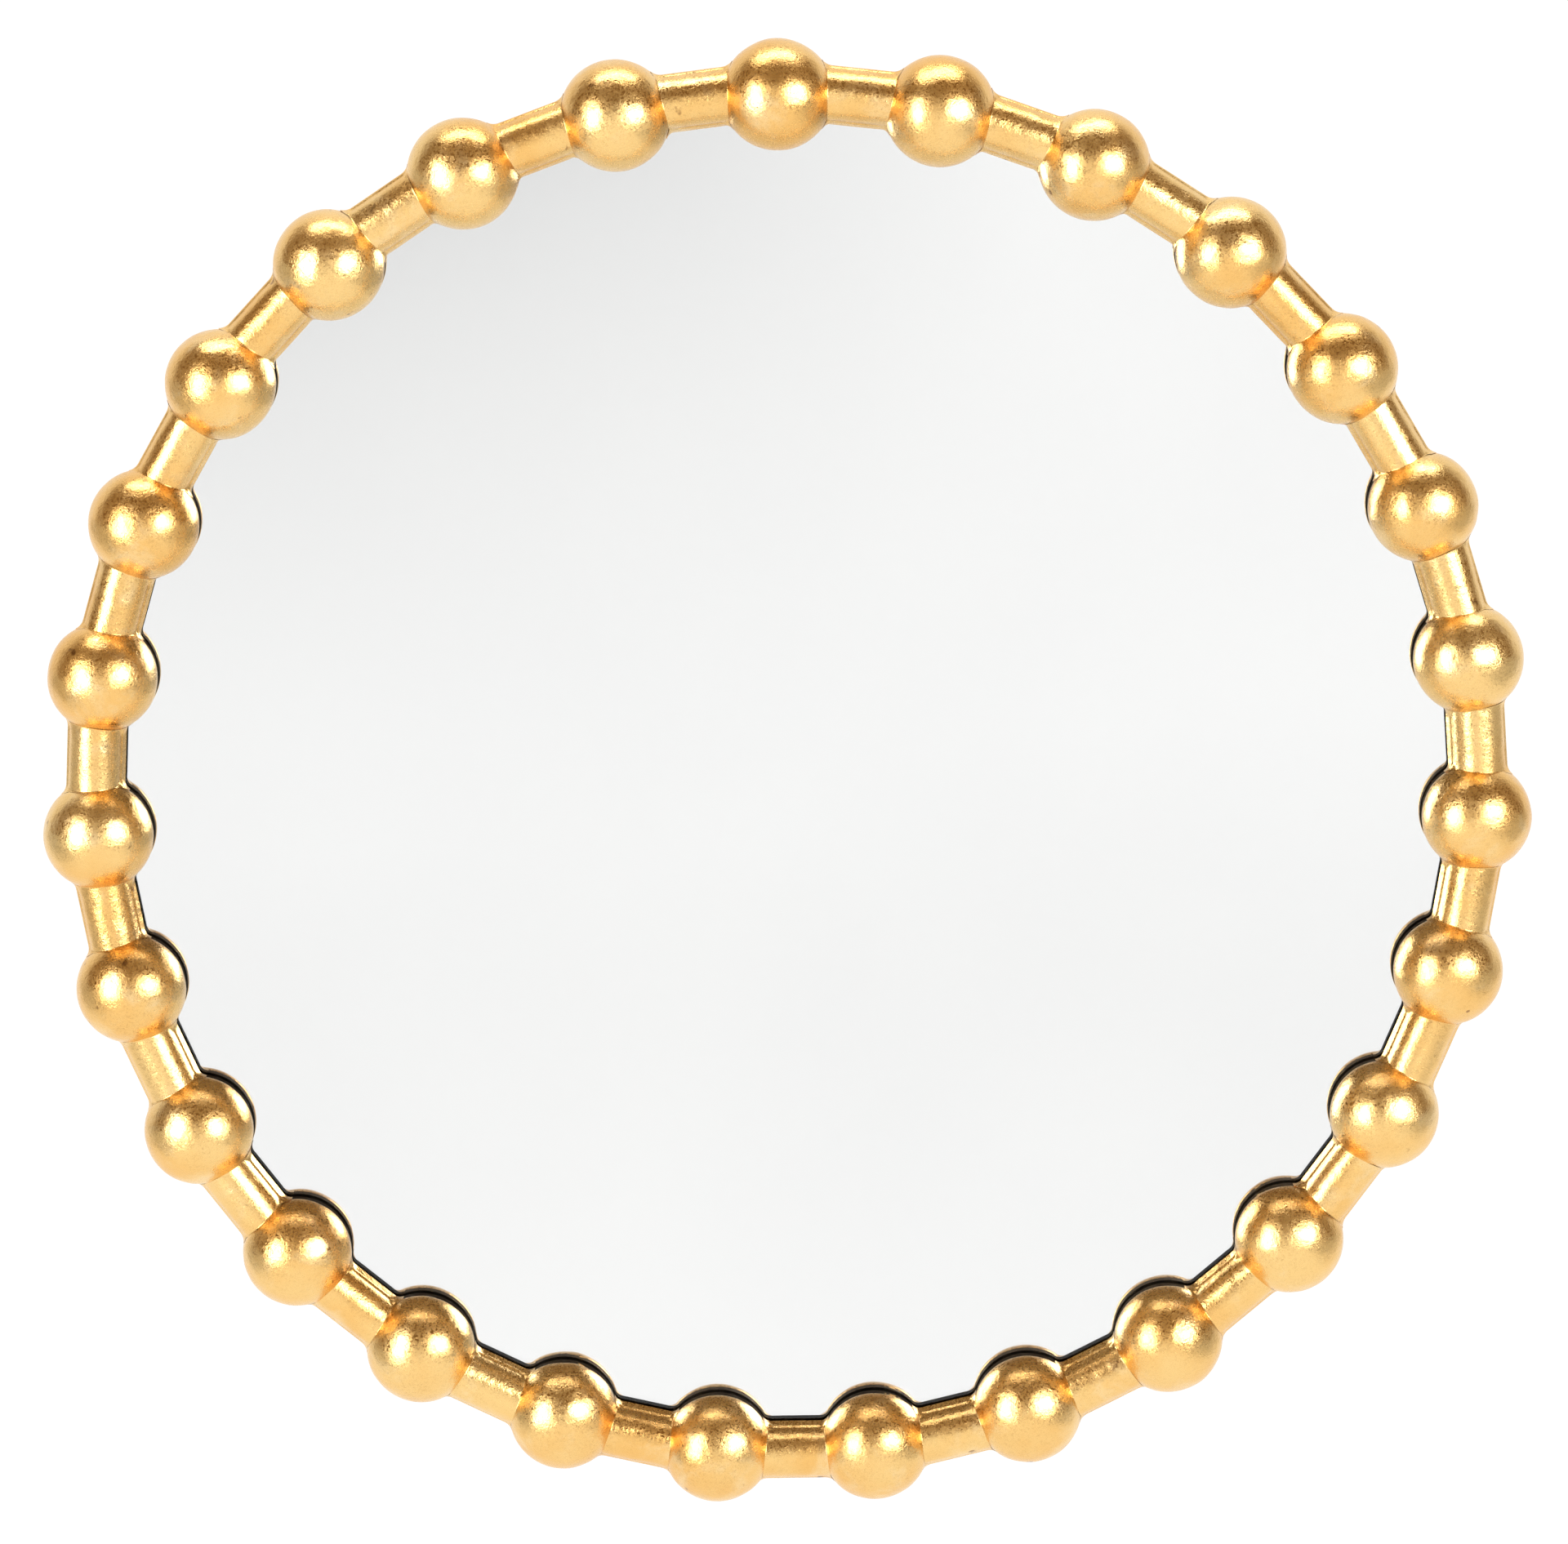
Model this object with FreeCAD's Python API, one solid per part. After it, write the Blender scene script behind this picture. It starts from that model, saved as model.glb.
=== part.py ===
import FreeCAD, Part
import math
import os

from FreeCAD import Rotation, Vector

# Round wall mirror in a gilded frame of half-ball beads joined by half-round link bars.
# Millimetres. X to the right, Z up, the mirror looks along -Y.
# Origin: centre of the ring, in the wall plane that the back of the backing ring rests on.
# A "depth" below is a distance in front of the wall plane, so depth d lies at y = -d.

# --- driving dimensions -------------------------------------------------------------------
bead_count = 27
pitch_radius = 329.0          # ring centre to bead centres
bead_radius = 26.4
link_bar_radius = 12.4        # half-round bar between two beads
link_foot_half_width = 14.0   # flat foot that shows as a narrow lip beside the bar
link_foot_thickness = 2.5
web_radius = 7.0              # hollow corner where a foot flares into a bead

ring_thickness = 19.0         # backing ring, cut from one board
ring_outer_radius = 336.5     # far enough inside the beads and bars not to show past them
ring_wall_setback = 0.4       # the ring's inner edge stands this far behind the gilded edge
glass_radius = 318.5
glass_thickness = 4.0
pad_thickness = 1.0
board_radius = 330.0
board_thickness = 3.0
hanger_recess = 6.0           # the back board lies this deep, so the hangers stay off the wall
edge_clearance = 0.5          # round the glass and the back board

first_screw_link = 1          # links are numbered clockwise from the top bead
screw_every = 3               # one board screw at every third link, the lowest one included
screw_circle_radius = 324.8
screw_shank_radius = 1.5
screw_head_radius = 3.4
screw_head_height = 1.8
screw_length = 10.0

hanger_bead = 5               # beads counted from the top one, on both sides
hanger_radius = 321.5
plate_width = 9.0
plate_thickness = 1.0
plate_tail = 21.0             # hinge line to the far end is plate_tail + hinge_rise
hinge_rise = 11.0
plate_screw_offsets = (-5.5, -16.5)
wire_thickness = 2.0          # hanging ring
hanging_ring_width = 15.0
hanging_ring_straight = 4.0
hinge_clearance = 0.1
side_clearance = 0.3          # between the hanging ring and its strap

# Small and repeated shapes are built of flats, so that the whole mirror stays light.
bead_sides = 18
bead_steps = 5
bar_flats = 6
web_flats = 2
scallop_flats = 5             # inner edge of the backing ring, round one bead
screw_sides = 8
bow_flats = 8
roll_sides = 12

# --- places worked out from them ------------------------------------------------------------
pitch_angle = 360.0 / bead_count
half_chord = pitch_radius * math.sin(math.radians(pitch_angle / 2))
board_back = hanger_recess
board_front = board_back + board_thickness
glass_back = board_front + pad_thickness
glass_front = glass_back + glass_thickness
hinge_height = plate_thickness + side_clearance + wire_thickness / 2


def ring_point(angle, radius, depth):
    """A point on a circle round the ring's centre, the angle counted clockwise from the top."""
    turn = math.radians(angle)
    return Vector(radius * math.sin(turn), -depth, radius * math.cos(turn))


def disc(radius, back_depth, thickness):
    """A round plate about the ring's axis, growing from its back face towards the front."""
    return Part.makeCylinder(radius, thickness, Vector(0, -back_depth, 0), Vector(0, -1, 0))


def prism(corners, growth):
    """A flat outline through the corners, grown along a vector."""
    outline = Part.makePolygon([*corners, corners[0]])
    return Part.Face(outline).extrude(growth)


def turned(profile, sides):
    """A turning with flat sides about the Z axis, through (radius, height) pairs.

    The corners start on the Y axis. A radius of 0 at the end closes it in a point.
    """
    turns = [2 * math.pi * side / sides for side in range(sides)]
    rings = []
    for radius, height in profile:
        rings.append([Vector(-radius * math.sin(t), radius * math.cos(t), height) for t in turns])
    faces = [Part.Face(Part.makePolygon([*rings[0], rings[0][0]]))]
    for below, above, (radius, _) in zip(rings, rings[1:], profile[1:]):
        for side in range(sides):
            after = (side + 1) % sides
            corners = [below[side], below[after], above[after]]
            if radius > 0:
                corners.append(above[side])
            faces.append(Part.Face(Part.makePolygon([*corners, corners[0]])))
    if profile[-1][0] > 0:
        faces.append(Part.Face(Part.makePolygon([*rings[-1], rings[-1][0]])))
    return Part.Solid(Part.Shell(faces))


def stood_up(shape, angle, radius, depth, towards_front):
    """Move a turning from the Z axis to a place on the ring, pointing to the front or the wall."""
    upright = Rotation(Vector(1, 0, 0), 90 if towards_front else -90)
    clockwise = Rotation(Vector(0, 1, 0), angle)
    placed = shape.copy()
    place = FreeCAD.Placement(ring_point(angle, radius, depth), clockwise * upright)
    placed.Placement = place * shape.Placement
    return placed


def save(name, shapes):
    """Write one node: a single solid, or a group of equal ones."""
    shape = shapes[0] if len(shapes) == 1 else Part.makeCompound(shapes)
    volume = sum(solid.Volume for solid in shape.Solids)
    print(f"{name}: {len(shape.Solids)} solid(s), {volume / 1000:.1f} cm3, valid {shape.isValid()}")
    shape.exportStep(f"parts/{name}.step")


# --- beads ----------------------------------------------------------------------------------
def bead_dome():
    """Half a ball on its flat back: radius R cos(a) at height R sin(a), closed at the crown."""
    profile = []
    for step in range(bead_steps):
        rise = math.radians(90.0 * step / bead_steps)
        profile.append((bead_radius * math.cos(rise), bead_radius * math.sin(rise)))
    profile.append((0, bead_radius))
    return turned(profile, bead_sides)


def make_beads():
    dome = bead_dome()
    return [
        stood_up(dome, number * pitch_angle, pitch_radius, ring_thickness, True)
        for number in range(bead_count)
    ]


# --- the edge that beads and links share ----------------------------------------------------
def web_corners(side_half_width, corner_radius, ball_radius):
    """The hollow corner between a ball and a straight edge, as corners from ball to edge.

    Counted from the bead's centre, x runs along the link and y square to it. The hollow's
    centre stands ball_radius + corner_radius from the bead's centre.
    """
    centre_across = side_half_width + corner_radius
    reach = ball_radius + corner_radius
    centre_along = math.sqrt(reach ** 2 - centre_across ** 2)
    start = math.pi + math.atan2(centre_across, centre_along)
    end = 1.5 * math.pi
    corners = []
    for step in range(web_flats + 1):
        turn = start + (end - start) * step / web_flats
        corners.append(
            Vector(
                centre_along + corner_radius * math.cos(turn),
                centre_across + corner_radius * math.sin(turn),
                0,
            )
        )
    return corners


def inner_outline(setback):
    """Corners of the scalloped inner edge: web, bead arc and web at each bead, clockwise.

    A setback moves the whole line away from the mirror's centre.
    """
    ball_radius = bead_radius - setback
    web = web_corners(link_foot_half_width - setback, web_radius + setback, ball_radius)
    # Seen from a bead, the links lie this far round from the line to the mirror's centre.
    link_turn = math.radians(90 - pitch_angle / 2)
    bays = []
    for corner in web:
        distance = math.hypot(corner.x, corner.y)
        bays.append((distance, link_turn - math.atan2(corner.y, corner.x)))
    edge_of_arc = bays[0][1]
    arc = []
    for step in range(1, scallop_flats):
        arc.append((ball_radius, edge_of_arc * (1 - 2 * step / scallop_flats)))
    scallop = [*reversed(bays), *arc, *[(distance, -turn) for distance, turn in bays]]
    corners = []
    for number in range(bead_count):
        heading = number * pitch_angle
        bead = ring_point(heading, pitch_radius, 0)
        for distance, turn in scallop:
            corners.append(bead + ring_point(heading + math.degrees(turn) + 180, distance, 0))
    return corners


# --- link bars ------------------------------------------------------------------------------
def link_bar():
    """A half-round bar on a flat foot along X, its ends coped to the beads on either side."""
    reach = half_chord - link_bar_radius
    section = []
    for step in range(bar_flats + 1):
        turn = math.pi * step / bar_flats
        across = link_bar_radius * math.cos(turn)
        section.append(Vector(-reach, across, link_bar_radius * math.sin(turn)))
    bar = prism(section, Vector(2 * reach, 0, 0))

    web = web_corners(link_foot_half_width, web_radius, bead_radius)[1:]
    quarter = [Vector(web[0].x - 5.0, web[0].y - 5.0, 0), *web]
    side = [Vector(corner.x - half_chord, corner.y, 0) for corner in quarter]
    side += [Vector(-corner.x, corner.y, 0) for corner in reversed(side)]
    outline = side + [Vector(-corner.x, -corner.y, 0) for corner in side]
    link = bar.fuse(prism(outline, Vector(0, 0, link_foot_thickness)))

    dome = bead_dome()
    for end in (-1, 1):
        bead = dome.copy()
        bead.rotate(Vector(0, 0, 0), Vector(0, 0, 1), -end * pitch_angle / 2)
        bead.translate(Vector(end * half_chord, 0, 0))
        link = link.cut(bead)
    return link.removeSplitter().Solids[0]


def make_links():
    link = link_bar()
    middle_radius = pitch_radius * math.cos(math.radians(pitch_angle / 2))
    return [
        stood_up(link, (number + 0.5) * pitch_angle, middle_radius, ring_thickness, True)
        for number in range(bead_count)
    ]


# --- screws ---------------------------------------------------------------------------------
def screw():
    """A pan-head wood screw along Z, its head's underside at z = 0 and its point at the top."""
    return turned(
        [
            (screw_head_radius * 0.62, -screw_head_height),
            (screw_head_radius, -screw_head_height * 0.45),
            (screw_head_radius, 0),
            (screw_shank_radius, 0),
            (screw_shank_radius, screw_length - 2.5 * screw_shank_radius),
            (0, screw_length),
        ],
        screw_sides,
    )


def make_board_screws():
    pattern = screw()
    return [
        stood_up(pattern, (number + 0.5) * pitch_angle, screw_circle_radius, board_back, True)
        for number in range(first_screw_link, bead_count, screw_every)
    ]


# --- hangers --------------------------------------------------------------------------------
# Drawn flat: Z points up along the strap from the middle of its place, X across it, and the
# board's back face is y = 0, so the hanger grows towards +Y.
def rod(radius, sides, half_length, depth):
    """A straight rod across the strap, at the hinge line."""
    bar = turned([(radius, -half_length), (radius, half_length)], sides)
    bar.rotate(Vector(0, 0, 0), Vector(0, 1, 0), 90)
    bar.translate(Vector(0, depth, hinge_rise))
    return bar


def rounded_end(half_width, centre_z, depth):
    """Corners of a half circle that points down."""
    corners = []
    for step in range(bow_flats + 1):
        turn = math.pi * step / bow_flats
        x = half_width * math.cos(turn)
        corners.append(Vector(x, depth, centre_z - half_width * math.sin(turn)))
    return corners


def hanger_strap(screws):
    """A flat strap with a rounded lower end, whose upper end rolls over the ring's bar."""
    half = plate_width / 2
    outline = rounded_end(half, half - plate_tail, 0)
    outline += [Vector(-half, 0, hinge_rise), Vector(half, 0, hinge_rise)]
    strap = prism(outline, Vector(0, plate_thickness, 0))
    bore_radius = wire_thickness / 2 + hinge_clearance
    strap = strap.fuse(rod(bore_radius + plate_thickness, roll_sides, half, hinge_height))
    strap = strap.cut(rod(bore_radius, roll_sides, plate_width, hinge_height))
    for shape in screws:
        strap = strap.cut(shape)
    return strap.removeSplitter()


def hanging_ring():
    """A D of square wire hanging from its bar, which is round where the strap rolls over it."""
    half = hanging_ring_width / 2
    front = hinge_height - wire_thickness / 2
    growth = Vector(0, wire_thickness, 0)

    def d_shape(inset):
        side = half - inset
        top = hinge_rise + wire_thickness / 2 - inset
        corners = rounded_end(side, hinge_rise - hanging_ring_straight, front)
        return prism([*corners, Vector(-side, front, top), Vector(side, front, top)], growth)

    ring = d_shape(0).cut(d_shape(wire_thickness))
    gap = plate_width / 2 + side_clearance
    square_bar = Part.makeBox(2 * gap, 2 * wire_thickness, 2 * wire_thickness)
    square_bar.translate(Vector(-gap, front - wire_thickness / 2, hinge_rise - wire_thickness))
    round_bar = rod(wire_thickness / 2, roll_sides, gap, hinge_height)
    return ring.cut(square_bar).fuse(round_bar).removeSplitter()


def hanger_screws():
    """The strap's two screws, with their heads on the strap."""
    pattern = screw()
    pattern.rotate(Vector(0, 0, 0), Vector(1, 0, 0), 90)
    screws = []
    for offset in plate_screw_offsets:
        placed = pattern.copy()
        placed.translate(Vector(0, plate_thickness, offset))
        screws.append(placed)
    return screws


def hung(shape, side):
    """Carry a hanger's piece to its bead, on the right for side 1 and the left for side -1.

    The strap lies along the ring, with its rolled end uppermost.
    """
    angle = side * hanger_bead * pitch_angle
    placed = shape.copy()
    lean = Rotation(Vector(0, 1, 0), angle - side * 90)
    place = FreeCAD.Placement(ring_point(angle, hanger_radius, board_back), lean)
    placed.Placement = place * shape.Placement
    return placed


# --- the whole mirror -----------------------------------------------------------------------
def make_backing_ring(screws):
    """A round board ring: scalloped to the beads in front, with steps behind for the glass."""
    blank = disc(ring_outer_radius, 0, ring_thickness)
    hole = prism(inner_outline(ring_wall_setback), Vector(0, -ring_thickness, 0))
    ring = blank.cut(hole)
    ring = ring.cut(disc(board_radius + edge_clearance, 0, board_front))
    ring = ring.cut(disc(glass_radius + edge_clearance, 0, glass_front))
    return ring.cut(Part.makeCompound(screws)).removeSplitter()


def main():
    os.makedirs("parts", exist_ok=True)
    board_screws = make_board_screws()
    strap_screws = hanger_screws()
    hung_screws = [hung(shape, side) for side in (-1, 1) for shape in strap_screws]
    all_screws = board_screws + hung_screws

    save("beads", make_beads())
    save("link_bars", make_links())
    save("backing_ring", [make_backing_ring(all_screws)])
    save("mirror_glass", [disc(glass_radius, glass_back, glass_thickness)])
    save("glass_pad", [disc(glass_radius, board_front, pad_thickness)])
    board = disc(board_radius, board_back, board_thickness)
    save("back_board", [board.cut(Part.makeCompound(all_screws))])
    save("board_screws", board_screws)
    save("hanger_screws", hung_screws)
    strap = hanger_strap(strap_screws)
    ring = hanging_ring()
    for name, side in (("left", -1), ("right", 1)):
        save(f"hanger_strap_{name}", [hung(strap, side)])
        save(f"hanging_ring_{name}", [hung(ring, side)])


main()
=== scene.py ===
import math

import bpy
import numpy as np
from mathutils import Matrix, Vector


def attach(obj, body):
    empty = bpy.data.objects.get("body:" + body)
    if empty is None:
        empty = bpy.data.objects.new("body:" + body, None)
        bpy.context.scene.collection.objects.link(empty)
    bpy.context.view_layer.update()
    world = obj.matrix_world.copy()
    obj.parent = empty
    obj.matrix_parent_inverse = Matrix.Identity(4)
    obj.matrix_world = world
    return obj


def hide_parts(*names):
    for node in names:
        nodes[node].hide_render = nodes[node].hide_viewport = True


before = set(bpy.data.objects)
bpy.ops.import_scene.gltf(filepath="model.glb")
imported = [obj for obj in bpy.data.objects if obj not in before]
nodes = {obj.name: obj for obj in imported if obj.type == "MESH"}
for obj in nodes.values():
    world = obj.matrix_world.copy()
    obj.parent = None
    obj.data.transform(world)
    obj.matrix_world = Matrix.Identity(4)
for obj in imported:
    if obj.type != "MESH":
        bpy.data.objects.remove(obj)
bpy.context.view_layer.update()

bodyName = "mirror_body"
mm = 0.001

# The ring, in millimetres, as the construction has it. Depth is the distance in front of the wall.
ring = {
    "beads": 27,
    "pitchRadius": 329.0,
    "beadRadius": 26.4,
    "barRadius": 12.4,
    "webRadius": 7.0,
    "baseDepth": 19.0,
    "glassFront": 14.0,
    "glassRadius": 318.5,
}
step = 2 * math.pi / ring["beads"]
halfChord = ring["pitchRadius"] * math.sin(step / 2)
midRadius = ring["pitchRadius"] * math.cos(step / 2)


# Quads of a grid whose points are numbered row by row.
def gridFaces(rows, columns, closed=False, first=0):
    r = np.arange(rows - 1)[:, None]
    c = np.arange(columns if closed else columns - 1)[None, :]
    after = (c + 1) % columns
    corners = [r * columns + c, r * columns + after, (r + 1) * columns + after, (r + 1) * columns + c]
    return np.stack(corners, -1).reshape(-1, 4) + first


# Triangles from a middle point to each side of a closed row of points.
def fanFaces(centre, first, count):
    c = np.arange(count)
    return np.stack([centre + 0 * c, first + c, first + (c + 1) % count], -1)


# A closed skin from rows of points with a point at each end. The rows' points come first, then the
# two ends.
def skinFaces(rows, columns, first=0):
    ends = first + rows * columns
    start = fanFaces(ends, first, columns)
    finish = fanFaces(ends + 1, first + (rows - 1) * columns, columns)[:, ::-1]
    return [gridFaces(rows, columns, True, first)[:, ::-1], start, finish]


# A mesh from whole arrays: points in metres, and blocks of faces with equal numbers of corners.
def meshObject(name, points, blocks, material, smooth=True):
    corners = np.concatenate([block.ravel() for block in blocks]).astype(np.int32)
    sizes = np.concatenate([np.full(len(block), block.shape[1]) for block in blocks])
    mesh = bpy.data.meshes.new(name)
    mesh.vertices.add(len(points))
    mesh.vertices.foreach_set("co", np.asarray(points, np.float32).ravel())
    mesh.loops.add(len(corners))
    mesh.loops.foreach_set("vertex_index", corners)
    mesh.polygons.add(len(sizes))
    mesh.polygons.foreach_set("loop_start", (np.cumsum(sizes) - sizes).astype(np.int32))
    mesh.polygons.foreach_set("use_smooth", np.full(len(sizes), smooth))
    mesh.update(calc_edges=True)
    mesh.validate()
    mesh.materials.append(material)
    shown = bpy.data.objects.new(name, mesh)
    bpy.context.scene.collection.objects.link(shown)
    return shown


# Points by the ring: clockwise angle, distance outward, distance clockwise, depth. The lengths come
# in millimetres and the points go out in metres.
def onRing(angle, radial, tangential, depth):
    sine, cosine = np.sin(angle), np.cos(angle)
    x = radial * sine + tangential * cosine
    z = radial * cosine - tangential * sine
    return np.stack([x, -depth + 0 * x, z], -1) * mm


def smoothstep(low, high, value):
    t = np.clip((value - low) / (high - low), 0, 1)
    return t * t * (3 - 2 * t)


# Soft unevenness: five sines per octave in random directions, halved in length and height from one
# octave to the next.
def ripple(points, size, seed, octaves=3, sines=5):
    rng = np.random.default_rng(seed)
    total = np.zeros(points.shape[:-1])
    for octave in range(octaves):
        for _ in range(sines):
            direction = rng.normal(size=3)
            direction *= 2 * math.pi * 2 ** octave / (size * np.linalg.norm(direction))
            total += np.sin(points @ direction + rng.uniform(0, 6.28)) / 2 ** octave / sines
    return total


# A short way to lay out a node material or the world.
class Nodes:
    def __init__(self, name, world=False):
        self.material = (bpy.data.worlds if world else bpy.data.materials).new(name)
        self.material.use_nodes = True
        self.tree = self.material.node_tree
        self.tree.nodes.clear()
        kind = "ShaderNodeOutputWorld" if world else "ShaderNodeOutputMaterial"
        self.output = self.tree.nodes.new(kind)

    def link(self, value, socket):
        if hasattr(value, "node"):
            self.tree.links.new(value, socket)
        else:
            socket.default_value = value

    def add(self, kind, inputs=None, out=0, **settings):
        node = self.tree.nodes.new(kind)
        for key, value in settings.items():
            setattr(node, key, value)
        for key, value in (inputs or {}).items():
            self.link(value, node.inputs[key])
        return node.outputs[out]

    def place(self):
        return self.add("ShaderNodeTexCoord", out="Object")

    def split(self, vector):
        node = self.tree.nodes.new("ShaderNodeSeparateXYZ")
        self.link(vector, node.inputs[0])
        return node.outputs

    def noise(self, scale, detail=3.0, roughness=0.5, distortion=0.0):
        inputs = {"Vector": self.place(), "Scale": scale, "Detail": detail}
        inputs |= {"Roughness": roughness, "Distortion": distortion}
        return self.add("ShaderNodeTexNoise", inputs, out="Fac")

    def cells(self, scale, feature):
        inputs = {"Vector": self.place(), "Scale": scale}
        return self.add("ShaderNodeTexVoronoi", inputs, out="Distance", feature=feature)

    def ramp(self, value, low, high, first=0.0, last=1.0):
        inputs = {"Value": value, "From Min": low, "From Max": high, "To Min": first, "To Max": last}
        return self.add("ShaderNodeMapRange", inputs, interpolation_type="SMOOTHSTEP")

    def veil(self, noise, *rise):
        return self.ramp(self.noise(*noise), *rise)

    def math(self, kind, a, b=0.0):
        return self.add("ShaderNodeMath", {0: a, 1: b}, operation=kind)

    def times(self, a, b):
        return self.math("MULTIPLY", a, b)

    def mix(self, share, a, b):
        inputs = {"Factor": share, "A": a, "B": b}
        node = self.tree.nodes.new("ShaderNodeMix")
        node.data_type = "RGBA"
        for socket in node.inputs:
            if socket.name in inputs and socket.enabled:
                self.link(inputs[socket.name], socket)
        return next(s for s in node.outputs if s.enabled)

    def bump(self, height, distance, strength=1.0, normal=None):
        inputs = {"Height": height, "Distance": distance, "Strength": strength}
        if normal is not None:
            inputs["Normal"] = normal
        return self.add("ShaderNodeBump", inputs)

    def relief(self, noise, distance, strength=1.0, normal=None):
        return self.bump(self.noise(*noise), distance, strength, normal)

    def finish(self, **inputs):
        shader = self.tree.nodes.new("ShaderNodeBsdfPrincipled")
        for key, value in inputs.items():
            self.link(value, shader.inputs[key.replace("_", " ")])
        self.tree.links.new(shader.outputs[0], self.output.inputs[0])
        return self.material


def rgb(red, green, blue):
    return (red, green, blue, 1.0)


# How the materials below are written. A noise is its scale, in cells per metre, and where given its
# detail, roughness and distortion. A veil is a noise, the two noise values between which the veil
# rises, and where given the values that it rises from and to, else 0 and 1. A relief is a noise, its
# depth in metres, and where given its strength.

# Gold leaf over a red-brown bole. The leaf is matt with fine polished specks, which are a shade
# darker. Its folds run along the edges of cells, with foldCells to the metre and foldDepth in metres.
goldLeaf = {
    "light": rgb(0.94, 0.63, 0.25),
    "warm": rgb(0.90, 0.53, 0.17),
    "pale": rgb(0.96, 0.71, 0.37),
    "tarnish": rgb(0.28, 0.15, 0.05),
    "bole": rgb(0.20, 0.075, 0.025),
    "warmClouds": ((16, 4, 0.55), 0.35, 0.65),
    "palePatches": ((48, 5, 0.6, 0.4), 0.5, 0.75, 0, 0.7),
    "wornAreas": ((30, 4, 0.6), 0.44, 0.64),
    "wornSpeckle": ((900, 4, 0.72, 0.6), 0.53, 0.68),
    "wear": 0.35,
    "boleSpots": ((120, 2), 0.71, 0.78, 0, 0.7),
    "specks": ((800, 3, 0.65, 0.8), 0.52, 0.60),
    "speckAreas": ((40, 3), 0.35, 0.55, 0.35, 1.0),
    "speckShade": 0.14,
    "matt": 0.29,
    "polished": 0.09,
    "waves": ((60, 3, 0.5), 0.0006),
    "dents": ((260, 2, 0.5), 0.00018),
    "grain": ((1000, 3, 0.6, 0.3), 0.00013),
    "foldAreas": ((40, 2), 0.5, 0.7),
    "foldCells": 150,
    "foldWidth": 0.06,
    "foldDepth": 0.00006,
    "foldStrength": 0.6,
}


# Leaf laid by hand: soft cloudy tone, fine worn speckle, spots of bole, waves, dents, grain and folds.
def makeGoldLeaf():
    look = goldLeaf
    n = Nodes("gold leaf")
    tone = n.mix(n.veil(*look["warmClouds"]), look["light"], look["warm"])
    tone = n.mix(n.veil(*look["palePatches"]), tone, look["pale"])
    worn = n.times(n.veil(*look["wornAreas"]), n.veil(*look["wornSpeckle"]))
    tone = n.mix(n.times(worn, look["wear"]), tone, look["tarnish"])
    tone = n.mix(n.veil(*look["boleSpots"]), tone, look["bole"])
    specks = n.times(n.veil(*look["specks"]), n.veil(*look["speckAreas"]))
    rough = n.ramp(specks, 0, 1, look["matt"], look["polished"])
    tone = n.mix(n.times(specks, look["speckShade"]), tone, look["tarnish"])
    edges = n.ramp(n.cells(look["foldCells"], "DISTANCE_TO_EDGE"), 0.0, look["foldWidth"], 1, 0)
    folds = n.times(edges, n.veil(*look["foldAreas"]))
    normal = n.relief(*look["waves"])
    normal = n.relief(*look["dents"], normal=normal)
    normal = n.relief(*look["grain"], normal=normal)
    normal = n.bump(folds, look["foldDepth"], look["foldStrength"], normal)
    return n.finish(Base_Color=tone, Metallic=1.0, Roughness=rough, Normal=normal)


# The laps of leaf begin between two depths in front of the wall, in metres.
blackPaint = {
    "dark": rgb(0.022, 0.014, 0.006),
    "rubbed": rgb(0.050, 0.033, 0.015),
    "clouds": ((35, 4), 0.35, 0.7),
    "roughness": ((90, 3), 0.3, 0.7, 0.62, 0.80),
    "sheen": 0.15,
    "lapDepths": (0.0158, 0.0172),
    "laps": ((70, 3, 0.6), 0.66, 0.69),
    "grain": ((900, 3), 0.00008),
}


# Matt brown-black paint on board, a little cloudy, with small laps of leaf near its front edge.
def makeBlackPaint():
    look = blackPaint
    n = Nodes("black paint")
    tone = n.mix(n.veil(*look["clouds"]), look["dark"], look["rubbed"])
    depth = n.times(n.split(n.place())[1], -1)
    laps = n.times(n.ramp(depth, *look["lapDepths"]), n.veil(*look["laps"]))
    tone = n.mix(laps, tone, goldLeaf["light"])
    return n.finish(
        Base_Color=tone,
        Metallic=laps,
        Roughness=n.veil(*look["roughness"]),
        Specular_IOR_Level=look["sheen"],
        Normal=n.relief(*look["grain"]),
    )


# Materials of two tones in soft clouds. The glass is the clear pane in front of the silver.
clearGlass = {
    "tones": (rgb(0.985, 0.988, 0.986), rgb(0.99, 0.993, 0.991)),
    "clouds": ((6, 2), 0.3, 0.7),
    "roughness": ((20, 2), 0.3, 0.7, 0.0, 0.004),
    "relief": ((9, 1), 0.00002, 0.2),
    "refraction": 1.52,
}
silverCoat = {
    "tones": (rgb(0.868, 0.868, 0.868), rgb(0.880, 0.880, 0.878)),
    "clouds": ((5, 3), 0.3, 0.7),
    "roughness": ((12, 2), 0.3, 0.7, 0.0, 0.006),
    "relief": ((7, 1), 0.00002, 0.1),
}
padFoam = {
    "tones": (rgb(0.50, 0.50, 0.49), rgb(0.62, 0.62, 0.60)),
    "clouds": ((300, 3), 0.3, 0.7),
    "roughness": ((80, 2), 0.3, 0.7, 0.85, 0.95),
    "relief": ((1500, 3), 0.0001),
}
zincPlate = {
    "tones": (rgb(0.66, 0.66, 0.62), rgb(0.48, 0.47, 0.42)),
    "clouds": ((160, 4), 0.35, 0.7),
    "roughness": ((240, 3), 0.3, 0.7, 0.25, 0.42),
    "relief": ((1200, 2), 0.00003),
}
nickelPlate = zincPlate | {"tones": (rgb(0.70, 0.67, 0.62), rgb(0.52, 0.49, 0.44))}


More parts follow.
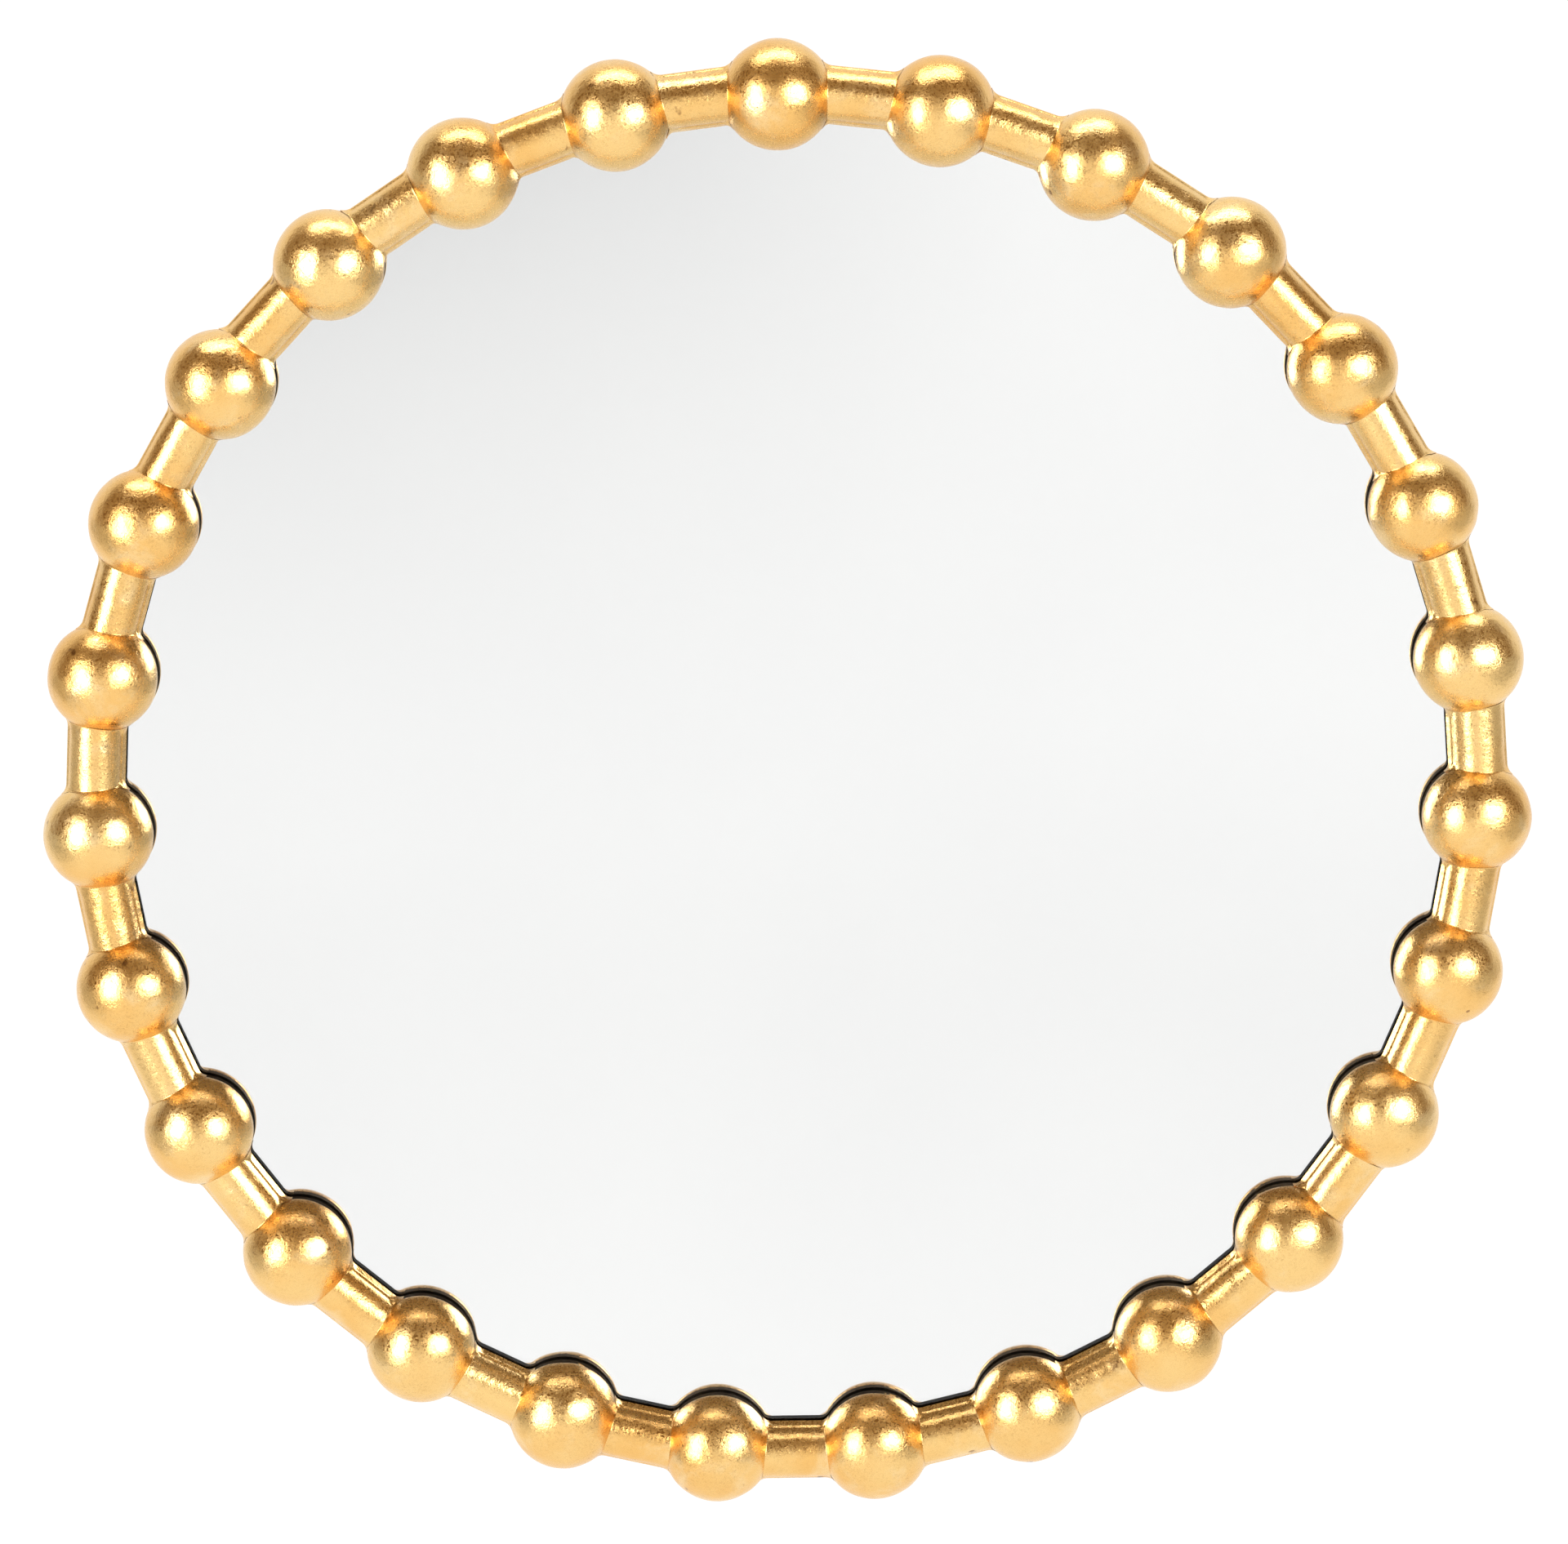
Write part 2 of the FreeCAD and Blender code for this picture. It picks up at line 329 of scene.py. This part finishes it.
def makeTwoTone(name, look, **settings):
    n = Nodes(name)
    tone = n.mix(n.veil(*look["clouds"]), *look["tones"])
    rough = n.veil(*look["roughness"])
    return n.finish(Base_Color=tone, Roughness=rough, Normal=n.relief(*look["relief"]), **settings)


hardboard = {
    "tones": (rgb(0.19, 0.105, 0.052), rgb(0.33, 0.20, 0.11)),
    "stain": rgb(0.40, 0.26, 0.15),
    "fibres": (260, 6, 0.75, 1.5),
    "toneRise": (0.35, 0.7),
    "stains": ((12, 3), 0.4, 0.7, 0, 0.35),
    "roughRise": (0.3, 0.7, 0.5, 0.72),
    "fibreDepth": 0.00012,
}


# Pressed fibre board: brown and mottled, its tone, roughness and relief all from the same fibres.
def makeHardboard():
    look = hardboard
    n = Nodes("hardboard")
    fibres = n.noise(*look["fibres"])
    tone = n.mix(n.ramp(fibres, *look["toneRise"]), *look["tones"])
    tone = n.mix(n.veil(*look["stains"]), tone, look["stain"])
    rough = n.ramp(fibres, *look["roughRise"])
    return n.finish(Base_Color=tone, Roughness=rough, Normal=n.bump(fibres, look["fibreDepth"]))


leafMaterial = makeGoldLeaf()
paintMaterial = makeBlackPaint()
print("materials made")


# Numbers of points, and in millimetres how far the balls stand inside the construction's, the round
# of their rim, and how uneven they are over what length.
beadLook = {
    "around": 84,
    "up": 26,
    "rimSteps": 4,
    "under": 0.13,
    "rim": 0.8,
    "uneven": 0.28,
    "unevenLength": 34,
    "seed": 100,
}


# Half balls. At rise v a point stands R cos v from the ball's axis and r + (R - r) sin v in front of
# the base, where r is the small quarter round that the rim rolls under by. The back is flat, and each
# ball is a little uneven in its own way.
def makeBeads():
    look = beadLook
    around, rim = look["around"], look["rim"]
    radius = ring["beadRadius"] - look["under"]
    rise = np.linspace(0, math.pi / 2, look["up"] + 1)[:-1]
    roll = np.linspace(-math.pi / 2, 0, look["rimSteps"] + 1)[:-1]
    out = np.concatenate([radius - rim + rim * np.cos(roll), radius * np.cos(rise)])
    depth = np.concatenate([rim + rim * np.sin(roll), rim + (radius - rim) * np.sin(rise)])
    turn = np.linspace(0, 2 * math.pi, around, endpoint=False)
    rows = len(out)
    plan = [out[:, None] * np.cos(turn), out[:, None] * np.sin(turn)]
    grid = np.stack([*plan, depth[:, None] + 0 * turn], -1)
    local = np.concatenate([grid.reshape(-1, 3), [[0, 0, 0], [0, 0, radius]]])
    points, blocks = [], []
    for number in range(ring["beads"]):
        lift = ripple(local, look["unevenLength"], look["seed"] + number) * look["uneven"]
        side, along, high = (local * (1 - np.abs(lift) / radius)[:, None]).T
        radial, depth = ring["pitchRadius"] + side, ring["baseDepth"] + high
        points.append(onRing(number * step, radial, along, depth))
        blocks += skinFaces(rows, around, number * len(local))
    beads = meshObject("gildedBeads", np.concatenate(points), blocks, leafMaterial)
    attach(beads, bodyName)
    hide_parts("beads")


makeBeads()
print("beads made")


# Numbers of points along and across, and how they crowd towards the edges and the ends. Then, in
# millimetres, the thin lip at the bar's foot, the crease where bar meets ball, the bar's stand outward
# of the line between two balls, and the sloping apron that carries the inner edge down towards the
# glass: its spread, the gap it leaves above the glass, how far from a ball it has its full spread, and
# the shares of its height at which its points lie. The lip and the hollows begin where the cosine of
# the direction round the bar passes lipFrom and webFrom.
barLook = {
    "along": 56,
    "across": 44,
    "edgeCrowding": (-0.15, 1.15),
    "endCrowding": 2.2,
    "overlap": 0.15,
    "lip": 0.9,
    "lipFrom": 0.985,
    "crease": 0.5,
    "webFrom": 0.90,
    "outward": 2.7,
    "apron": 1.2,
    "apronGap": 2.0,
    "apronFade": 6.0,
    "apronRows": (1.0, 0.96, 0.5, 0.06),
    "backLift": 0.05,
    "uneven": 0.20,
    "unevenLength": 30,
    "unevenFrom": (0.5, 3),
    "seed": 400,
}


# How far the skin stands from the line between two balls, for a direction round it and a distance
# from a ball's centre along it. The bar is a cylinder b a little outward of the line, the bead a ball
# on the line, and between them runs a hollow of radius f that grows towards the base:
# b + f - sqrt(f^2 - (sc - s)^2), where sc is the place of the hollow's own centre. Without a distance
# it gives the one at which hollow and ball touch.
def barReach(cosine, spot=None):
    look, ball = barLook, ring["beadRadius"]
    body = ring["barRadius"] + look["lip"] * smoothstep(look["lipFrom"], 1.0, np.abs(cosine))
    body = body - look["outward"] * cosine
    growth = smoothstep(look["webFrom"], 1.0, np.abs(cosine))
    hollow = look["crease"] + (ring["webRadius"] - look["crease"]) * growth
    centre = np.sqrt((ball + hollow) ** 2 - (body + hollow) ** 2)
    if spot is None:
        return centre * ball / (ball + hollow)
    inside = np.clip(hollow ** 2 - np.clip(centre - spot, 0, None) ** 2, 0, None)
    return body + hollow - np.sqrt(inside)


# Half-round bars between the balls. Each has one grid along the bar and across it, from the apron's
# lower edge up over the bar and down to its outer edge, and a flat grid behind. The rows crowd towards
# the ends of the bar, where the hollows are.
def makeBars():
    look, base = barLook, ring["baseDepth"]
    turn = smoothstep(*look["edgeCrowding"], np.linspace(0, 1, look["across"]))
    turn = math.pi * (turn - turn[0]) / (turn[-1] - turn[0])
    cosine, sine = np.cos(turn), np.sin(turn)
    touch = barReach(cosine)
    share = np.linspace(-1, 1, look["along"])
    share = np.sign(share) * (1 - (1 - np.abs(share)) ** look["endCrowding"])
    spread = (halfChord - touch + look["overlap"])[None, :] * share[:, None]
    fromBead = halfChord - np.abs(spread)
    reach = barReach(cosine[None, :] + 0 * spread, fromBead)
    inward = reach * cosine
    depth = base + reach * sine
    level = np.ones((look["along"], 1))
    fade = smoothstep(0.0, look["apronFade"], fromBead[:, :1] - touch[0])
    columns = []
    for down in look["apronRows"]:
        drop = down * (base - ring["glassFront"] - look["apronGap"])
        edge = inward[:, :1] + look["apron"] * fade * down
        columns.append((edge, (base - drop) * level, spread[:, :1]))
    columns.append((inward, depth, spread))
    back = (base + look["backLift"]) * level
    foot = [(inward[:, [edge]], back, spread[:, [edge]]) for edge in (-1, 0)]
    low, high = look["unevenFrom"]
    points, blocks, count = [], [], 0
    for number in range(ring["beads"]):
        for part in (columns, foot):
            inward, depth, spread = (np.concatenate(values, 1) for values in zip(*part))
            local = np.stack([spread, inward, depth], -1)
            lift = ripple(local, look["unevenLength"], look["seed"] + number) * look["uneven"]
            lift = lift * smoothstep(base + low, base + high, depth)
            scale = 1 - np.abs(lift) / ring["barRadius"]
            raised = base + (depth - base) * scale
            angle = (number + 0.5) * step
            points.append(onRing(angle, midRadius - inward * scale, spread, raised).reshape(-1, 3))
            blocks.append(gridFaces(*inward.shape, first=count))
            count += inward.size
    bars = meshObject("gildedBars", np.concatenate(points), blocks, leafMaterial)
    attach(bars, bodyName)
    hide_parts("link_bars")


makeBars()
print("bars made")


# Millimetres, then the numbers of points in each hollow, straight and arc round a ball. The wall
# stands back a little from the gold edge that it follows.
backingLook = {
    "outerRadius": 336.5,
    "setback": 0.4,
    "footHalfWidth": 11.0,
    "rebateRadius": 319.0,
    "recessRadius": 330.5,
    "boardFront": 9.0,
    "arris": 0.5,
    "inHollow": 9,
    "inStraight": 3,
    "inArc": 23,
}


# One bay of the inner edge, as angles and distances round a ball: straight, hollow, round the ball,
# hollow, straight. The hollow is an arc of radius w that touches both the ball and the straight.
def scallop():
    look = backingLook
    setback = look["setback"]
    ball, edge = ring["beadRadius"] - setback, look["footHalfWidth"] - setback
    web = ring["webRadius"] + setback
    across = edge + web
    along = math.sqrt((ball + web) ** 2 - across ** 2)
    t = np.linspace(math.pi + math.atan2(across, along), 1.5 * math.pi, look["inHollow"])
    straight = np.linspace(along, halfChord, look["inStraight"] + 1)[1:]
    x = np.concatenate([along + web * np.cos(t), straight])
    y = np.concatenate([across + web * np.sin(t), np.full(len(straight), edge)])
    distance, turn = np.hypot(x, y), (math.pi / 2 - step / 2) - np.arctan2(y, x)
    arc = np.linspace(turn[0], -turn[0], look["inArc"] + 2)[1:-1]
    turns = np.concatenate([turn[::-1], arc, -turn[:-1]])
    return turns, np.concatenate([distance[::-1], np.full(len(arc), ball), distance[:-1]])


# The black ring, one closed profile round the mirror. Every face of the profile has its own rows of
# points, so that its corners stay sharp.
def makeBacking():
    look = backingLook
    turns, distance = scallop()
    outward, sideways = ring["pitchRadius"] - distance * np.cos(turns), -distance * np.sin(turns)
    heading = np.arange(ring["beads"])[:, None] * step
    x = outward * np.sin(heading) + sideways * np.cos(heading)
    z = outward * np.cos(heading) - sideways * np.sin(heading)
    inner = np.stack([x, z], -1).reshape(-1, 2)
    unit = inner / np.linalg.norm(inner, axis=1)[:, None]
    front, shelf, board = ring["baseDepth"], ring["glassFront"], look["boardFront"]
    recess, rebate, outer = (unit * look[key] for key in ("recessRadius", "rebateRadius", "outerRadius"))
    profile = [
        (recess, 0.0),
        (outer - unit * look["arris"], 0.0),
        (outer, look["arris"]),
        (outer, front),
        (inner, front),
        (inner, shelf),
        (rebate, shelf),
        (rebate, board),
        (recess, board),
        (recess, 0.0),
    ]
    count = len(inner)
    points, blocks = [], []
    for row in range(len(profile) - 1):
        for plan, depth in profile[row:row + 2]:
            points.append(np.stack([plan[:, 0], np.full(count, -depth), plan[:, 1]], -1) * mm)
        blocks.append(gridFaces(2, count, True, row * 2 * count))
    backing = meshObject("backingRing", np.concatenate(points), blocks, paintMaterial)
    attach(backing, bodyName)
    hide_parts("backing_ring")


makeBacking()
print("backing ring made")


# Millimetres: the pane reaches from the pad to the rebate's shelf, with the silver behind it, and
# both stand in a little from the construction's edge.
glassLook = {
    "around": 256,
    "arris": 0.3,
    "pane": {"inset": 0.1, "back": 10.12, "thickness": 3.86},
    "coat": {"inset": 0.3, "back": 10.02, "thickness": 0.08},
}


# A round plate with a narrow arris: rings about the axis from the back to the front, closed by fans.
def makeDisc(name, look, material):
    around = glassLook["around"]
    turn = np.linspace(0, 2 * math.pi, around, endpoint=False)
    radius = ring["glassRadius"] - look["inset"]
    back, front = look["back"], look["back"] + look["thickness"]
    arris = min(glassLook["arris"], look["thickness"] / 4)
    profile = [
        (radius - arris, back),
        (radius, back + arris),
        (radius, front - arris),
        (radius - arris, front),
    ]
    rows = [onRing(turn, r, 0, d) for r, d in profile]
    ends = [onRing(0.0, np.zeros(1), 0, d) for d in (back, front)]
    points = np.concatenate(rows + ends)
    return meshObject(name, points, skinFaces(len(rows), around), material, smooth=False)


# A clear pane, and close behind it the silver.
def makeGlass():
    clear = makeTwoTone(
        "clear glass", clearGlass, Transmission_Weight=1.0, IOR=clearGlass["refraction"]
    )
    silver = makeTwoTone("silver coat", silverCoat, Metallic=1.0)
    pane = makeDisc("glassPane", glassLook["pane"], clear)
    coat = makeDisc("silverCoat", glassLook["coat"], silver)
    for piece in (pane, coat):
        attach(piece, bodyName)
    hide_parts("mirror_glass")


makeGlass()
print("glass made")


# Pieces that keep the construction's own mesh: only their material is new.
zinc = makeTwoTone("zinc plate", zincPlate, Metallic=1.0)
nickel = makeTwoTone("nickel plate", nickelPlate, Metallic=1.0)
finishes = {
    "glass_pad": makeTwoTone("pad foam", padFoam),
    "back_board": makeHardboard(),
    "board_screws": zinc,
    "hanger_screws": zinc,
    "hanger_strap_left": nickel,
    "hanger_strap_right": nickel,
    "hanging_ring_left": nickel,
    "hanging_ring_right": nickel,
}
for name, material in finishes.items():
    nodes[name].data.materials.clear()
    nodes[name].data.materials.append(material)
print("construction parts finished")


# Metres, watts, and degrees. A lamp stands at degrees to the right of straight in front and above the
# horizon. The painted far light, which brightens the floor's glow far off in front, is two distances
# before the wall and the brightness it rises from and to. The world darkens to its front tone as a
# direction's height rises through frontRise, sooner at the sides by frontBend, and as it comes forward
# through frontBack.
studio = {
    "floorHeight": -0.85,
    "floorRadius": 40.0,
    "floorSides": 64,
    "floorTone": 0.86,
    "floorGlow": 0.94,
    "floorLevel": 1.09,
    "backdrop": 1.0,
    "paintedShadeCorner": {"beyond": 4.0, "leftOf": 0.55, "slope": 0.029, "most": 0.3},
    "paintedFarLight": (3, 5, 0, 0.05),
    "paintedSideShadeDepth": 0.50,
    "paintedSideShadeRise": (0.9, 1.9),
    "front": (0.24, 0.158, 0.082),
    "frontRise": (-0.05, 0.5),
    "frontBend": 0.5,
    "frontBack": (0.55, 0.15),
    "left": {"size": (1.1, 1.9), "at": (-46, 7), "distance": 2.6, "power": 52},
    "right": {"size": (1.6, 1.15), "at": (39, 13), "distance": 2.6, "power": 52},
    "top": {"size": (2.4, 0.6), "at": (4, 92), "distance": 2.4, "power": 30},
}


# 1 for rays of the named kinds: camera, glossy or transmission.
def rayIs(n, *kinds):
    path = n.tree.nodes.new("ShaderNodeLightPath").outputs
    share = path["Is " + kinds[0] + " Ray"]
    for kind in kinds[1:]:
        share = n.math("MAXIMUM", share, path["Is " + kind + " Ray"])
    return share


# Pale paper that sweeps far out on all sides. Its glow carries painted shade far off in the left front,
# which the mirror reflects, and for glossy rays only painted shade out at the sides, beyond a line
# that widens behind the mirror.
def makeFloor():
    n = Nodes("studio floor")
    tone = studio["floorTone"]
    x, y = n.split(n.place())[:2]
    far = n.times(y, -1)
    # Painted shade: the glow darkens far off in the left front, up to a most.
    corner = studio["paintedShadeCorner"]
    beyond = n.math("MAXIMUM", n.math("SUBTRACT", far, corner["beyond"]), 0)
    leftward = n.math("MAXIMUM", n.math("SUBTRACT", corner["leftOf"], x), 0)
    paintedCornerShade = n.math("MINIMUM", n.times(n.times(beyond, leftward), corner["slope"]), corner["most"])
    # Painted shade for glossy rays only: the glow darkens out at the sides.
    aside = n.math("SUBTRACT", n.math("ABSOLUTE", x), n.math("MAXIMUM", y, 0.0))
    paintedSideShade = n.times(n.ramp(aside, *studio["paintedSideShadeRise"]), studio["paintedSideShadeDepth"])
    paintedSideShade = n.times(paintedSideShade, rayIs(n, "Glossy"))
    # Painted light: the glow brightens a little far off in front.
    lift = n.ramp(far, *studio["paintedFarLight"])
    level = n.math("SUBTRACT", n.math("ADD", lift, studio["floorLevel"]), n.math("MAXIMUM", paintedSideShade, paintedCornerShade))
    plain = n.add("ShaderNodeBsdfDiffuse", {"Color": rgb(tone, tone, tone)})
    glow = n.add("ShaderNodeEmission", {"Color": rgb(1, 1, 1), "Strength": level})
    share = n.times(rayIs(n, "Camera", "Glossy", "Transmission"), studio["floorGlow"])
    mixed = n.add("ShaderNodeMixShader", {0: share, 1: plain, 2: glow})
    n.tree.links.new(mixed, n.output.inputs[0])
    sides, reach = studio["floorSides"], studio["floorRadius"]
    turn = np.linspace(0, 2 * math.pi, sides, endpoint=False)
    points = np.stack([reach * np.cos(turn), reach * np.sin(turn), 0 * turn], -1)
    points = np.concatenate([points, [[0, 0, 0]]]) + [0, 0, studio["floorHeight"]]
    meshObject("studioFloor", points, [fanFaces(sides, 0, sides)], n.material, False)


# White behind the object and low down, and a dark studio before and above it.
def makeWorld():
    n = Nodes("studio", world=True)
    bpy.context.scene.world = n.material
    x, y, z = n.split(n.add("ShaderNodeTexCoord", out="Generated"))
    rise = n.math("ADD", z, n.times(n.times(x, x), studio["frontBend"]))
    share = n.times(n.ramp(rise, *studio["frontRise"]), n.ramp(y, *studio["frontBack"]))
    share = n.times(share, n.math("SUBTRACT", 1.0, rayIs(n, "Camera")))
    white = studio["backdrop"]
    tone = n.mix(share, rgb(white, white, white), rgb(*studio["front"]))
    background = n.add("ShaderNodeBackground", {"Color": tone})
    n.tree.links.new(background, n.output.inputs[0])


def makeLamp(name):
    look = studio[name]
    azimuth, elevation = map(math.radians, look["at"])
    level = math.cos(elevation)
    toward = Vector((math.sin(azimuth) * level, -math.cos(azimuth) * level, math.sin(elevation)))
    data = bpy.data.lights.new(name + "Softbox", "AREA")
    data.shape = "RECTANGLE"
    data.size, data.size_y = look["size"]
    data.energy = look["power"]
    lamp = bpy.data.objects.new(name + "Softbox", data)
    lamp.location = toward * look["distance"]
    lamp.rotation_euler = toward.to_track_quat("Z", "Y").to_euler()
    bpy.context.scene.collection.objects.link(lamp)


makeFloor()
makeWorld()
for name in ("left", "right", "top"):
    makeLamp(name)
print("studio made")


# Metres, degrees and millimetres, and in pixels the picture's width and height and the place of the
# ring's centre in it.
camera = {
    "distance": 3.188,
    "elevation": 11.1,
    "roll": -0.79,
    "focal": 153.7,
    "sensor": 36.0,
    "sight": 60,
    "picture": (1920, 1891),
    "centre": (963.7, 962.1),
}


# The photograph's viewpoint, worked out from the outlines of the beads.
def makeCamera():
    look = camera
    data = bpy.data.cameras.new("camera")
    data.sensor_width = look["sensor"]
    data.lens = look["focal"]
    data.sensor_fit = "HORIZONTAL"
    data.clip_end = look["sight"]
    width, height = look["picture"]
    data.shift_x = -(look["centre"][0] - width / 2) / width
    data.shift_y = (look["centre"][1] - height / 2) / width
    view = bpy.data.objects.new("camera", data)
    elevation = math.radians(look["elevation"])
    target = Vector((0, -ring["baseDepth"] * mm, 0))
    toward = Vector((0, -math.cos(elevation), math.sin(elevation)))
    turned = toward.to_track_quat("Z", "Y").to_matrix().to_4x4()
    turned = turned @ Matrix.Rotation(math.radians(look["roll"]), 4, "Z")
    view.matrix_world = Matrix.Translation(target + toward * look["distance"]) @ turned
    bpy.context.scene.collection.objects.link(view)
    bpy.context.scene.camera = view


makeCamera()
bpy.context.scene.view_settings.view_transform = "Standard"
print("camera set")
